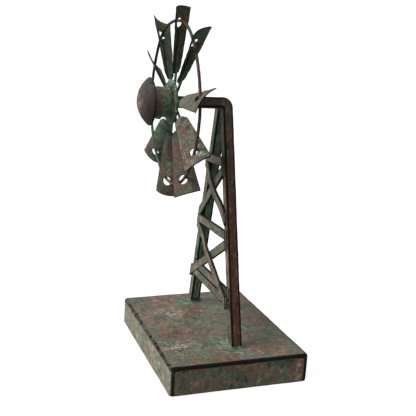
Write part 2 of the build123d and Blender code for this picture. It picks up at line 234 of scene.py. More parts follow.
def patina(name, ground, under, patch, brown, green, dark, seed, stretch=(1, 1, 1), contrast=2.6, scale=1.0):
    """Weathered metal: a ground colour, brown showing through, verdigris, mint bloom and dark stains.

    brown, green and dark say how much of each there is, from about -0.1 to 0.1; scale sizes the patches. The
    pieces' own point attributes add to the layers: rust, green, mint, dark, light, pits and edge. shade makes
    all of it lighter, or darker where it is negative. On several pieces light, dark and shade also carry
    painted light and painted shade: faces and bumps made paler, lighter or darker for how light falls on
    them, and painted shadows between parts, besides the patina's own stains.
    """
    material = bpy.data.materials.new(name)
    n = Nodes(material)
    large = n.noise(46 * scale, 6, 0.6, 0.6, stretch, seed)
    medium = n.noise(15 * scale, 7, 0.68, 1.0, stretch, seed + 3)
    small = n.noise(4.6 * scale, 6, 0.72, 0.6, stretch, seed + 7)
    fine = n.noise(1.3, 3, 0.7, 0.0, (1, 1, 1), seed + 11)
    blotch = n.noise(24 * scale, 8, 0.66, 1.2, stretch, seed + 17)

    def blend(*parts):
        total = 0.0
        for value, weight in parts:
            total = n.math("ADD", total, n.math("MULTIPLY", value, weight))
        return total

    def layer(tint, share, low, high, *parts):
        """Paint over in a tint where the blend of the parts is high; gives how much it covers."""
        nonlocal paint
        cover = n.step(blend(*parts), low, high)
        paint = n.mix(n.math("MULTIPLY", cover, share), paint, tint)
        return cover

    rust, verdigris = n.spot("rust"), n.spot("green")
    paint = ground
    layer(under, 1, 0.38 - brown, 0.64 - brown,
          (large, 0.35), (medium, 0.4), (small, 0.25), (rust, 1), (verdigris, -0.5))
    patches = layer(patch, 0.85, 0.44 - green, 0.74 - green,
                    (blotch, 0.55), (small, 0.45), (verdigris, 1), (rust, -0.4))
    layer(PALE, 1, 0.5, 1.4, (n.spot("light"), 1), (medium, 0.5), (small, 0.4))
    layer(MINT, 0.75, 0.66, 1.2, (small, 0.5), (medium, 0.3), (fine, 0.2), (n.spot("mint"), 1))
    layer(UMBER, 0.85, 0.56 - dark, 0.86 - dark,
          (medium, 0.35), (blotch, 0.35), (small, 0.3), (n.spot("dark"), 1))

    mottle = blend((medium, 0.35), (small, 0.45), (fine, 0.2))
    mottle = n.math("ADD", n.math("MULTIPLY", n.math("SUBTRACT", mottle, 0.5), contrast), 1.0)
    mottle = n.math("MULTIPLY", n.math("MAXIMUM", mottle, 0.2), n.math("ADD", n.spot("shade"), 1.0))
    shade = n.new("ShaderNodeCombineColor")
    for socket in shade.inputs[:3]:
        n.put(socket, mottle)
    paint = n.mix(1.0, paint, shade.outputs["Color"], "MULTIPLY")

    cells = n.new("ShaderNodeTexVoronoi")
    n.put(cells.inputs["Vector"], n.place)
    cells.inputs["Scale"].default_value = 1 / (3.4 * MM)
    dots = n.math("SUBTRACT", 1.0, n.step(cells.outputs["Distance"], 0.22, 0.42))
    pits = n.math("MULTIPLY", dots, n.step(blend((n.spot("pits"), 1), (small, 0.5)), 0.55, 0.8))
    paint = n.mix(pits, paint, BLACK)

    worn = layer(BLACK, 0.96, 0.7, 1.05, (n.spot("edge"), 1), (medium, 0.3), (small, 0.45))

    rough = blend((small, 0.35), (patches, 0.15), (worn, -0.12))
    height = blend((fine, 0.3), (small, 0.7), (patches, 0.35), (pits, -1.2))
    shader = n.new("ShaderNodeBsdfPrincipled")
    shader.inputs["Metallic"].default_value = 0.12
    n.put(shader.inputs["Base Color"], paint)
    n.put(shader.inputs["Specular IOR Level"], n.math("SUBTRACT", 0.28, n.math("MULTIPLY", worn, 0.22)))
    n.put(shader.inputs["Roughness"], n.math("ADD", rough, 0.4))
    n.finish(shader, height, 0.6, 0.0007)
    return material


def metal(name, tint, stain, roughness):
    """Bare metal with stains, for the small hardware."""
    material = bpy.data.materials.new(name)
    n = Nodes(material)
    spots = n.noise(3, 6, 0.7, 0.5)
    turned = n.noise(0.5, 3, 0.6, 0.0, (1, 8, 1))
    shader = n.new("ShaderNodeBsdfPrincipled")
    shader.inputs["Metallic"].default_value = 0.9
    n.put(shader.inputs["Base Color"], n.mix(n.step(spots, 0.45, 0.65), tint, stain))
    n.put(shader.inputs["Roughness"], n.math("ADD", n.math("MULTIPLY", turned, 0.25), roughness))
    n.finish(shader, turned, 0.3, 0.0002)
    return material


BASE_GREEN = colour(86, 102, 84)
STRAP_GREY = colour(82, 82, 68)
BLADE_GREY, BLADE_BROWN = colour(84, 84, 70), colour(92, 66, 54)
SPOKE_GREY, SPOKE_BROWN = colour(66, 78, 62), colour(96, 66, 54)
HUB_GREY = colour(80, 88, 72)
DOME_GREY, DOME_BROWN = colour(98, 90, 80), colour(86, 62, 54)
STEEL, STEEL_STAIN = colour(150, 146, 138), colour(92, 70, 52)
BRASS, BRASS_STAIN = colour(176, 142, 82), colour(96, 84, 56)

# Each patina's ground, under and patch colours; how brown, green and dark it is; its seed; then any other
# settings that it has of its own.
PATINAS = {
    "base_patina": (GREY_GREEN, BROWN, BASE_GREEN, 0.03, -0.06, -0.05, 1.0, (1, 1.1, 1), 2.2, 1.4),
    "bar_patina": (OLIVE, RED_BROWN, GREEN, 0.05, -0.1, 0.03, 5.0, (1, 1, 2)),
    "strap_patina": (STRAP_GREY, BROWN, GREEN, -0.03, -0.03, 0.0, 9.0),
    "blade_patina": (BLADE_GREY, BLADE_BROWN, GREEN, 0.05, -0.02, 0.0, 13.0),
    "spoke_patina": (SPOKE_GREY, SPOKE_BROWN, GREEN, -0.04, 0.0, 0.03, 19.0),
    "hub_patina": (HUB_GREY, BROWN, GREEN, -0.04, 0.02, 0.0, 23.0),
    "dome_patina": (DOME_GREY, DOME_BROWN, GREY_GREEN, 0.03, -0.05, 0.0, 29.0),
}
METALS = {
    "plain_steel": (STEEL, STEEL_STAIN, 0.35),
    "bush_brass": (BRASS, BRASS_STAIN, 0.3),
}
MATERIALS = {name: patina(name, *settings) for name, settings in PATINAS.items()}
MATERIALS.update({name: metal(name, *settings) for name, settings in METALS.items()})


# ---- mesh tools ----

EDGE_FADE = 1.6                 # how far the wear reaches in from a rounded edge


def lumps(points, size, seed, octaves=4):
    """Fractal noise, about -1 to 1, with lumps size millimetres across."""
    shift = Vector((seed * 7.31, seed * 3.17, seed * 5.93))
    return np.array([noise.fractal(Vector(p) / size + shift, 1.0, 2.0, octaves) for p in points])


def fade(values, low, high):
    """0 below low, 1 above high, smooth between."""
    share = np.clip((np.asarray(values, float) - low) / (high - low), 0, 1)
    return share * share * (3 - 2 * share)


def near(points, centre, radius):
    """1 at the centre, fading to 0 at the radius."""
    return 1 - fade(np.linalg.norm(np.asarray(points) - np.array(centre), axis=1), 0, radius)


def add_object(name, data):
    thing = bpy.data.objects.new(name, data)
    bpy.context.scene.collection.objects.link(thing)
    return thing


def make_piece(name, body, slot, nodes, points, faces, tones=None, rough=(), seed=0.0, modifiers=()):
    """A piece from points in millimetres. rough lists (size of the lumps, height) for its surface.

    tones maps a point attribute's name to its values, or to one value for the whole piece. modifiers lists
    (type, settings).
    """
    mesh = bpy.data.meshes.new(name)
    mesh.from_pydata([tuple(p) for p in points], [], faces)
    edit = bmesh.new()
    edit.from_mesh(mesh)
    bmesh.ops.recalc_face_normals(edit, faces=edit.faces)
    edit.to_mesh(mesh)
    edit.free()
    places = np.array(points, float)
    if rough:
        normals = np.zeros(len(mesh.vertices) * 3)
        mesh.vertices.foreach_get("normal", normals)
        normals = normals.reshape(-1, 3)
        for size, height in rough:
            places = places + normals * (lumps(places, size, seed + size) * height)[:, None]
    mesh.vertices.foreach_set("co", (places * MM).ravel())
    mesh.update()
    for tone, values in (tones or {}).items():
        layer = mesh.attributes.new(tone, "FLOAT", "POINT")
        layer.data.foreach_set("value", np.zeros(len(mesh.vertices)) + values)
    mesh.shade_smooth()
    mesh.materials.append(MATERIALS[slot])
    piece = add_object(name, mesh)
    for kind, settings in modifiers:
        set_all(piece.modifiers.new(kind.lower(), kind), settings)
    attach(piece, body)
    if nodes:
        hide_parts(*nodes)


def full_turn(count):
    """Angles evenly round a circle."""
    return [2 * pi * k / count for k in range(count)]


def band(a, b, count):
    """Faces between two rings of count points, whose first points are numbers a and b."""
    return [(a + k, a + (k + 1) % count, b + (k + 1) % count, b + k) for k in range(count)]


def skin(rings, closed=False):
    """Points and faces of a surface through rings of points, capped at both ends unless it is closed."""
    count = len(rings[0])
    points = [p for ring in rings for p in ring]
    faces = []
    for i in range(len(rings) if closed else len(rings) - 1):
        faces += band(i * count, (i + 1) % len(rings) * count, count)
    if not closed:
        faces.append(tuple(reversed(range(count))))
        faces.append(tuple(range(len(points) - count, len(points))))
    return points, faces


def rounded(corners, radius, steps=3):
    """A closed outline with each corner rounded, as points (x, y) that are all in a corner's arc."""
    outline = []
    for i, corner in enumerate(corners):
        here = Vector(corner)
        back = (Vector(corners[i - 1]) - here).normalized()
        ahead = (Vector(corners[(i + 1) % len(corners)]) - here).normalized()
        for k in range(steps + 1):
            t = k / steps
            outline.append(here + back * radius * (1 - t) ** 2 + ahead * radius * t ** 2)
    return outline


def divided(outline, step):
    """The outline with its long stretches divided, and the edge value of each point, which is 1 in an arc."""
    points, edge = [], []
    for i, here in enumerate(outline):
        after = outline[(i + 1) % len(outline)]
        points.append(here)
        edge.append(1.0)
        parts = max(1, ceil((after - here).length / step))
        for k in range(1, parts):
            points.append(here.lerp(after, k / parts))
            away = min(k, parts - k) * (after - here).length / parts
            edge.append(max(0.0, 1 - away / EDGE_FADE) * 0.9)
    return points, edge


def stations(length, step, bevel):
    """Distances along a bar and how far each ring is inset: close together at the ends, for a small bevel."""
    count = max(2, round((length - 4 * bevel) / step))
    inner = [(2 * bevel + (length - 4 * bevel) * i / count, 0.0) for i in range(count + 1)]
    start = [(0.0, bevel), (0.3 * bevel, 0.3 * bevel), (bevel, 0.0)]
    end = [(length - s, inset) for s, inset in reversed(start)]
    return start + inner + end


def bar(path, side, section, edge):
    """Rings of a section along path(s) -> (point, tangent, inset). side is the section's x direction."""
    rings, tone = [], []
    for point, tangent, inset in path:
        up = tangent.cross(side).normalized()
        shrink = 1 - inset / HALF
        rings.append([point + side * x * shrink + up * y * shrink for x, y in section])
        tone += [max(e, 0.8 if inset > 0 else 0.0) for e in edge]
    points, faces = skin(rings)
    return points, faces, np.array(tone)


square = [(HALF, HALF), (-HALF, HALF), (-HALF, -HALF), (HALF, -HALF)]
bar_section, bar_edge = divided(rounded(square, 1.5), 2.1)


# ---- base ----

# Larger patches on the top of the base: x, y, radius, layer, strength.
BASE_SPOTS = (
    (-52, 0, 26, "rust", 0.3),
    (-92, -30, 28, "rust", 0.25),
    (-40, -26, 24, "rust", 0.25),
    (20, 10, 30, "rust", 0.1),
    (26, -64, 24, "rust", 0.3),
    (112, -20, 26, "rust", 0.3),
    (112, 62, 26, "rust", 0.25),
    (0, 70, 34, "rust", 0.15),
    (-88, -12, 26, "green", 0.35),
    (-84, -8, 20, "mint", 0.2),
    (-40, 0, 16, "mint", 0.15),
    (66, 0, 34, "green", 0.3),
    (68, -4, 24, "mint", 0.24),
    (100, 10, 20, "green", 0.3),
    (-50, -50, 36, "light", 0.3),
    (64, -68, 26, "light", 0.5),
    (60, -30, 36, "light", 0.2),
    (60, 70, 60, "green", 0.1),
    (60, 56, 50, "shade", -0.2),
    (-10, 60, 50, "shade", -0.12),
    (64, -68, 34, "pits", 0.9),
    (-32, -62, 26, "pits", 0.7),
    (106, -58, 30, "pits", 0.8),
)


def make_base():
    """A folded sheet box: a grid over the top, rings down the sides, and a turned-in lower edge."""
    half_x, half_y = (base_high.x - base_low.x) / 2, (base_high.y - base_low.y) / 2
    turn = [0, 0.6, 1.4, 2.4, 3.4, 4.6, 6]

    def line(half):
        inner = half - turn[-1]
        count = round(2 * inner / 2.2)
        flat = [-inner + 2 * inner * i / count for i in range(count + 1)]
        return [-half + t for t in turn[:-1]] + flat + [half - t for t in reversed(turn[:-1])]

    xs, ys = line(half_x), line(half_y)

    def outline_frame(x, y):
        """The plan point moved into rounded corners, its distance in from the outline and the way in."""
        qx = max(-half_x + BASE_CORNER_R, min(half_x - BASE_CORNER_R, x))
        qy = max(-half_y + BASE_CORNER_R, min(half_y - BASE_CORNER_R, y))
        dx, dy = x - qx, y - qy
        if dx and dy:
            square_r, round_r = max(abs(dx), abs(dy)), sqrt(dx * dx + dy * dy)
            dx, dy = dx * square_r / round_r, dy * square_r / round_r
            return qx + dx, qy + dy, BASE_CORNER_R - square_r, (-dx / square_r, -dy / square_r)
        inset_x, inset_y = half_x - abs(x), half_y - abs(y)
        if inset_x < inset_y:
            return x, y, inset_x, (-1 if x > 0 else 1, 0)
        return x, y, inset_y, (0, -1 if y > 0 else 1)

    def turned(angle):
        """How far in and how high the rounded top edge is: angle 0 on the side, 90 on the top."""
        return BASE_EDGE_R * (1 - cos(angle)), BASE_H - BASE_EDGE_R * (1 - sin(angle))

    points, faces = [], []
    for y in ys:
        for x in xs:
            px, py, inset, inward = outline_frame(x, y)
            shift, height = inset, BASE_H
            if inset < BASE_EDGE_R:
                shift, height = turned(pi / 4 + pi / 4 * inset / BASE_EDGE_R)
            shift -= inset
            points.append(Vector((px + inward[0] * shift, py + inward[1] * shift, height)))
    nx, ny = len(xs), len(ys)
    for j in range(ny - 1):
        for i in range(nx - 1):
            faces.append((j * nx + i, j * nx + i + 1, (j + 1) * nx + i + 1, (j + 1) * nx + i))
    around = [(i, 0) for i in range(nx - 1)] + [(nx - 1, j) for j in range(ny - 1)]
    around += [(i, ny - 1) for i in range(nx - 1, 0, -1)] + [(0, j) for j in range(ny - 1, 0, -1)]
    plan = [outline_frame(xs[i], ys[j]) for i, j in around]
    above = [j * nx + i for i, j in around]

    side_h, side_rows, count = BASE_H - BASE_EDGE_R, 16, len(plan)
    steps = [turned(radians(angle)) for angle in (30, 15, 0)]
    steps += [(0, side_h * (1 - k / side_rows)) for k in range(1, side_rows)]
    steps += [(0, 0.7), (0.25, 0.2), (0.8, 0), (2, 0), (2, 1.7)]
    for inset, z in steps:
        start = len(points)
        for k, (px, py, _, inward) in enumerate(plan):
            m = (k + 1) % count
            points.append(Vector((px + inward[0] * inset, py + inward[1] * inset, z)))
            faces.append((above[k], start + k, start + m, above[m]))
        above = range(start, start + count)
    faces.append(tuple(above))

    p = np.array(points)
    drop = BASE_H - p[:, 2]
    inset_x, inset_y = half_x - np.abs(p[:, 0]), half_y - np.abs(p[:, 1])

    def along_edge(inset, side, strength):
        """Dark wear on the rounded top edge of one side."""
        return strength * side * (1 - fade(inset, 2.5, 6.5)) * (1 - fade(drop, 2.5, 6))

    def down_corner(side_x, side_y, strength):
        """Dark wear down an upright corner, mostly on the end that faces along X."""
        return strength * side_x * side_y * (1 - fade(inset_y, 4, 9)) * (1 - fade(inset_x, 0.5, 4))

    plus_x, plus_y = p[:, 0] > 0, p[:, 1] > 0
    edge = np.maximum.reduce([
        along_edge(inset_x, plus_x, 0.85),
        along_edge(inset_x, ~plus_x, 0.4),
        along_edge(inset_y, plus_y, 0.75),
        along_edge(inset_y, ~plus_y, 0.6),
        down_corner(plus_x, ~plus_y, 0.7),
        down_corner(plus_x, plus_y, 0.8),
        down_corner(~plus_x, plus_y, 0.5),
        0.6 * (1 - fade(p[:, 2], 0.8, 2.6)),
    ])
    front_face = (inset_y < 3) & ~plus_y
    # Painted light: the front face is painted paler and lighter below its rounded edge, and the +X end a
    # little lighter. The base is also paler round the -X, -Y quarter of its top.
    tones = {
        "edge": edge,
        "shade": 0.3 * front_face * fade(drop, 2, 6) + 0.12 * (inset_x < 3) * plus_x * fade(drop, 4, 8),
        "light": 0.15 * front_face + 0.2 * near(p, (-35, -45, BASE_H), 60),
    }
    for x, y, radius, layer, strength in BASE_SPOTS:
        tones[layer] = tones.get(layer, 0) + strength * near(p, (x, y, BASE_H), radius)
    make_piece(
        "base_sheet", "stand", "base_patina", ["base_shell"], points, faces, tones,
        rough=((70, 0.5), (16, 0.16), (4, 0.07)), seed=2.0,
    )


# ---- legs, arm and their welds ----

def make_near_leg_arm():
    """The near leg, bent over at the top into the arm that carries the wheel."""
    arm_low, _ = corner_box("near_leg_arm")
    reach = TOWER_Y - arm_low.y
    turn_r = 7.0
    leg = (ARM_CORNER - near_foot).length
    straight = leg - turn_r
    bend = turn_r * pi / 2
    total = straight + bend + reach - turn_r
    path = []
    dense = [straight + bend * k / 9 for k in range(10)]
    marks = [s for s in stations(total, 4.0, 0.8) if not straight - 2 < s[0] < straight + bend + 2]
    for s, inset in sorted(marks + [(d, 0.0) for d in dense]):
        if s <= straight:
            point, tangent = near_foot + near_up * s, near_up
        elif s >= straight + bend:
            point, tangent = ARM_CORNER + FRONT * (s - straight - bend + turn_r), FRONT
        else:
            angle = (s - straight) / turn_r
            centre = ARM_CORNER - near_up * turn_r + FRONT * turn_r
            point = centre + near_up * turn_r * sin(angle) - FRONT * turn_r * cos(angle)
            tangent = near_up * cos(angle) + FRONT * sin(angle)
        path.append((point, tangent, inset))
    points, faces, edge = bar(path, near_side, bar_section, bar_edge)
    p = np.array(points)
    on_arm = fade(FACE_Y - p[:, 1], -2, 6)
    outer = fade((p - np.array(near_foot)) @ np.array(near_side), 3, 6)
    front = fade(-(p[:, 1] - TOWER_Y), 3, 6) * (1 - on_arm)
    high = fade(p[:, 2], 120, 330)
    # Painted light and shade: the front face is painted lighter, and paler low down, and the arm that reaches
    # forwards is painted darker as painted shade. The side towards the far leg is slightly darker.
    tones = {
        "edge": edge,
        "dark": 0.3 * on_arm + 0.06 * (1 - outer),
        "shade": 0.25 * front - 0.1 * on_arm,
        "rust": 0.25 * outer * (1 - high) * (1 - on_arm) + 0.1 * outer,
        "green": 0.12 * front * (1 - high) + 0.06 * outer * high,
        "light": 0.35 * front * (1 - high),
    }
    make_piece(
        "near_leg_and_arm", "stand", "bar_patina", ["near_leg_arm"], points, faces, tones,
        rough=((40, 0.3), (9, 0.14), (3, 0.05)), seed=7.0,
    )


def make_far_leg():
    _, leg_high = corner_box("far_leg")
    length = (leg_high.z - BASE_H) / far_up.z
    path = [(far_foot + far_up * s, far_up, inset) for s, inset in stations(length - 3, 4.0, 0.8)]
    side = Vector((far_up.z, 0, -far_up.x))
    points, faces, edge = bar(path, side, bar_section, bar_edge)
    # The top is cut to the back of the near leg.
    limit = np.array(ARM_CORNER - near_side * (HALF + 0.1))
    out = np.array(near_side)
    p = np.array(points)
    beyond = np.maximum(0, (p - limit) @ out)
    p = p - beyond[:, None] * np.array((1, 0, 0)) / out[0]
    outer = fade((p - np.array(far_foot)) @ np.array(side), 3, 6)
    front = fade(-(p[:, 1] - TOWER_Y), 3, 6)
    # Painted light: the front face is painted lighter and paler, and the outer face, which the lamp leaves
    # dark, is painted lighter too. The green on the outer face is patina.
    tones = {
        "edge": edge,
        "dark": -0.05,
        "shade": 0.1 * front + 0.35 * outer,
        "green": 0.3 * outer,
        "light": 0.15 * front,
        "rust": -0.15,
    }
    make_piece(
        "far_leg_bar", "stand", "bar_patina", ["far_leg"], list(p), faces, tones,
        rough=((40, 0.3), (9, 0.14), (3, 0.05)), seed=17.0,
    )


def make_foot_weld(name, node, foot, seed):
    """A lumpy collar of weld metal round a leg's foot."""
    rings = []
    low, high = corner_box(node)
    spread = (high.x - low.x) / 2 - HALF
    rise = high.z - BASE_H
    for angle in full_turn(64):
        way = Vector((cos(angle), sin(angle), 0))
        reach = HALF / max(abs(way.x), abs(way.y))
        lump = noise.noise(Vector((cos(angle) * 3, sin(angle) * 3, seed)))
        wide = spread * (0.8 + 0.25 * lump)
        tall = rise * (0.75 + 0.35 * lump)
        inner = foot + way * (reach - 1.5)
        profile = [(0, -0.3), (0, tall), (1.5, tall), (1.5 + wide * 0.35, tall * 0.75)]
        profile += [(1.5 + wide * 0.7, tall * 0.35), (1.5 + wide, 0.05), (1.5 + wide, -0.3)]
        rings.append([inner + way * out + Vector((0, 0, up)) for out, up in profile])
    points, faces = skin(rings, closed=True)
    p = np.array(points)
    tones = {"green": 0.4, "mint": 0.12, "edge": 0.35 * fade(p[:, 2], BASE_H + 1.6, BASE_H + 2.6)}
    make_piece(
        name, "stand", "bar_patina", [node], points, faces, tones, rough=((3, 0.35), (1.2, 0.15)), seed=seed,
    )


def blob(centre, axes, rings=8, around=14):
    """A closed lump of weld: points and faces of an ellipsoid with its three half axes."""
    points = [centre - axes[2]]
    for i in range(1, rings):
        tilt = -pi / 2 + pi * i / rings
        for angle in full_turn(around):
            level = axes[0] * cos(tilt) * cos(angle) + axes[1] * cos(tilt) * sin(angle)
            points.append(centre + level + axes[2] * sin(tilt))
    points.append(centre + axes[2])
    last = len(points) - 1
    faces = [(0, 1 + (k + 1) % around, 1 + k) for k in range(around)]
    for i in range(rings - 2):
        faces += band(1 + i * around, 1 + (i + 1) * around, around)
    a = 1 + (rings - 2) * around
    faces += [(last, a + k, a + (k + 1) % around) for k in range(around)]
    return points, faces


def joined(parts):
    """Several (points, faces) as one."""
    points, faces = [], []
    for some, some_faces in parts:
        shift = len(points)
        points += some
        faces += [tuple(i + shift for i in face) for face in some_faces]
    return points, faces


def bead(start, end, radius, seed):
    """A run of weld between two points, as overlapping lumps."""
    length = (end - start).length
    along = (end - start).normalized()
    other = along.orthogonal().normalized()
    third = along.cross(other)
    count = max(2, round(length / (radius * 0.9)))
    parts = []
    for k in range(count + 1):
        size = radius * (1 + 0.25 * noise.noise(Vector((k * 1.7, seed, 0.5))))
        wander = other * 0.25 * noise.noise(Vector((k * 0.9, seed + 5, 0.5)))
        axes = (other * size, third * size, along * size * 1.05)
        parts.append(blob(start.lerp(end, k / count) + wander, axes))
    return joined(parts)


def leg_x(foot, up, z):
    return foot.x + up.x / up.z * (z - BASE_H)


def make_apex_weld():
    """Weld metal that fills the narrow gap between the two legs under the arm."""
    low, high = corner_box("apex_weld")
    parts = []
    for y in (FACE_Y + 2.4, TOWER_Y, TOWER_Y + HALF - 2.4):
        start = Vector((leg_x(near_foot, near_up, low.z) - HALF - 1.2, y, low.z + 1))
        end = Vector((leg_x(near_foot, near_up, high.z) - HALF - 1.2, y, high.z - 2))
        parts.append(bead(start, end, 2.6, y))
    make_piece(
        "apex_weld_bead", "stand", "bar_patina", ["apex_weld"], *joined(parts), {"dark": 0.3},
        rough=((2, 0.15),), seed=31.0,
    )


# ---- braces ----

# Each strap's heights on the far leg and on the near leg, how far it is packed forwards, and the strap that
# it steps over, with whether it comes down again.
STRAPS = (
    (271, 275, 0.35, None, False),
    (260, 203, 0.0, 2, True),
    (192, 263, 0.0, None, False),
    (178, 181, 0.35, None, False),
    (93, 168, 0.25, None, False),
    (167, 95, 0.05, 4, False),
    (107, 107, 0.0, None, False),
    (94, 94, 0.12, None, False),
)
CUT_SHORT = {6: 14}             # a strap whose far end stops this far short of the leg's edge


def strap_ends(heights):
    far_z, near_z = heights
    far = Vector((leg_x(far_foot, far_up, far_z), FACE_Y, far_z))
    close = Vector((leg_x(near_foot, near_up, near_z), FACE_Y, near_z))
    return far, close


def crossing(first, second):
    """How far along the first strap, from its middle, the second strap's middle line crosses it."""
    a, b = strap_ends(first)
    c, d = strap_ends(second)
    share = (c - a).cross(d - c).y / (b - a).cross(d - c).y
    return (share - 0.5) * (b - a).length


strap_corners = [(STRAP_W / 2, 0), (STRAP_W / 2, STRAP_T), (-STRAP_W / 2, STRAP_T), (-STRAP_W / 2, 0)]
strap_section, strap_edge = divided(rounded(strap_corners, 0.7, 2), 1.3)


def make_strap(number):
    far_z, near_z, packing, over, comes_down = STRAPS[number]
    a, b = strap_ends((far_z, near_z))
    along = (b - a).normalized()
    across = FRONT.cross(along)
    mid = (a + b) / 2

    def cut(t, foot, up, shift):
        """Where the line that runs t across the strap's middle meets a line beside a leg."""
        out = Vector((up.z, 0, -up.x))
        return (shift - (mid + across * t - foot).dot(out)) / along.dot(out)

    def lift(s):
        if over is None:
            return packing
        centre = crossing((far_z, near_z), STRAPS[over][:2])
        start, stop = centre - STRAP_W * 0.75, centre + STRAP_W * 0.75
        height = STRAP_T + STRAPS[over][2]
        up = fade(s, start - STRAP_RISE, start)
        down = fade(s, stop, stop + STRAP_RISE) if comes_down else 0
        return packing + height * float(up - down)

    rings, edge, share = [], [], []
    length = (b - a).length
    for s, inset in stations(length, 2.6, 0.5):
        ring = []
        for k, (t, h) in enumerate(strap_section):
            first = cut(t, far_foot, far_up, -HALF + 0.3) + CUT_SHORT.get(number, 0)
            last = cut(t, near_foot, near_up, 1)
            place = first + (last - first) * s / length
            shrink = 1 - inset / (STRAP_W / 2)
            thin = (h - STRAP_T / 2) * (1 - inset / STRAP_T) + STRAP_T / 2
            ring.append(mid + along * place + across * t * shrink + FRONT * (thin + lift(place)))
            edge.append(max(strap_edge[k], 0.8 if inset else 0.0))
            share.append(s / length)
        rings.append(ring)
    points, faces = skin(rings)
    share = np.array(share)
    tones = {"edge": np.array(edge) * 0.95}
    if number in (6, 7):
        tones["mint"] = 0.15 * (1 - fade(share, 0.0, 0.3))
        tones["green"] = 0.12 * (1 - fade(share, 0.1, 0.6))
        tones["rust"] = 0.08 * fade(share, 0.2, 0.8)
        tones["shade"] = -0.1
    if number in (0, 2):
        tones["rust"] = 0.12 * fade(share, 0.2, 0.8)
    make_piece(
        f"strap_{number + 1}", "stand", "strap_patina", [f"brace_{number + 1}"], points, faces, tones,
        rough=((30, 0.3), (8, 0.12), (2.5, 0.05)), seed=40.0 + number,
    )


def make_strap_welds():
    """Short beads where the straps' ends meet the near leg."""
    parts = []
    for number, (_, near_z, packing, over, comes_down) in enumerate(STRAPS):
        steps_up = 0 if over is None or comes_down else STRAP_T
        half = STRAP_W * 0.42
        y = FACE_Y - packing - steps_up - STRAP_T * 0.35
        start = Vector((leg_x(near_foot, near_up, near_z - half) + 1.6, y, near_z - half))
        end = Vector((leg_x(near_foot, near_up, near_z + half) + 1.6, y, near_z + half))
        parts.append(bead(start, end, 1.3, 60.0 + number))
    make_piece(
        "strap_weld_beads", "stand", "strap_patina", [], *joined(parts), {"dark": 0.15, "green": 0.1},
        rough=((1.5, 0.12),), seed=71.0,
    )


# ---- hub ----

def lathe(profile, around, wave=0.0, seed=0.0):
    """Rings of a profile of (radius, forwards) turned about the axle. Radii wander by wave."""
    rings = []
    for angle in full_turn(around):
        way = Vector((cos(angle), 0, sin(angle)))
        off = wave * noise.noise(Vector((cos(angle) * 1.5, sin(angle) * 1.5, seed)))
        rings.append([WHEEL + way * (r + off * min(1, r / 20)) + FRONT * s for r, s in profile])
    return rings


def turned_piece(name, slot, nodes, corners, radius, step, around, rough, seed, wave, tone_of):
    """A ring-shaped piece whose section is an outline of (radius, forwards) with rounded corners."""
    outline, edge = divided(rounded(corners, radius, 3), step)
    points, faces = skin(lathe(outline, around, wave, seed), closed=True)
    p = np.array(points)
    tones = tone_of(p, np.tile(edge, around))
    make_piece(name, "wheel", slot, nodes, points, faces, tones, rough=rough, seed=seed)


def turned_box(node):
    """A turned part's radius, and how far its back and its front are in front of the hoop's plane."""
    low, high = corner_box(node)
    return (high.x - low.x) / 2, WHEEL.y - high.y, WHEEL.y - low.y


def wheel_polar(p):
    """Forwards distance, radius and direction (x, z) of points about the axle."""
    x, z = p[:, 0] - WHEEL.x, p[:, 2] - WHEEL.z
    return WHEEL.y - p[:, 1], np.hypot(x, z), x, z


def make_flange():
    outer, back, front = turned_box("hub_flange")
    inner = 7.0

    def tones(p, edge):
        forward, r, _, z = wheel_polar(p)
        face = fade(forward, front - 1, front - 0.3)
        # The upper part of the front face is painted paler as a painted highlight, and the face is painted
        # darker round the drum as painted shade.
        return {
            "edge": edge * 0.3 * (1 - fade(r, outer - 4, outer - 2)),
            "green": 0.35 * fade(r, outer - 3, outer) + 0.1,
            "mint": 0.14 * fade(r, outer - 2.5, outer - 0.5),
            "dark": 0.2 * face * (1 - fade(r, 19, 25)),
            "light": 0.3 * fade(z, 14, 26) * face,
        }

    corners = [(inner, back), (outer, back), (outer, front), (inner, front)]
    turned_piece(
        "flange_disc", "hub_patina", ["hub_flange"], corners, 1.3, 1.6, 120,
        ((18, 0.35), (5, 0.12), (2, 0.05)), 81.0, 0.7, tones,
    )


def make_drum():
    outer, back, front = turned_box("hub_drum")
    wall = 2.5

    def tones(p, edge):
        forward, r, _, z = wheel_polar(p)
        outside = fade(r, outer - 1, outer - 0.4)
        return {
            "edge": edge * 0.5 * outside,
            "shade": 0.15 * outside,
            # The front end is painted darker as the dome's painted shadow, and the back end by the flange as
            # painted shade in the gap.
            "dark": 0.5 * fade(forward, front - 7, front - 1) + 0.35 * (1 - fade(forward, back, back + 2.2)),
            "rust": 0.3 * near(p, WHEEL + Vector((outer, -27, 4)), 13) + 0.2 * fade(forward, 20, 30),
            "green": 0.25 * (1 - fade(forward, 10, 26)) + 0.2 * fade(-z, 8, 18),
        }

    groove = outer - 0.6
    corners = [(outer - wall, back), (groove, back), (groove, back + 1.2), (outer, back + 1.8)]
    corners += [(outer, front), (outer - wall, front)]
    turned_piece(
        "drum_tube", "hub_patina", ["hub_drum"], corners, 0.5, 1.5, 96,
        ((14, 0.3), (5, 0.12), (2, 0.05)), 91.0, 0.4, tones,
    )


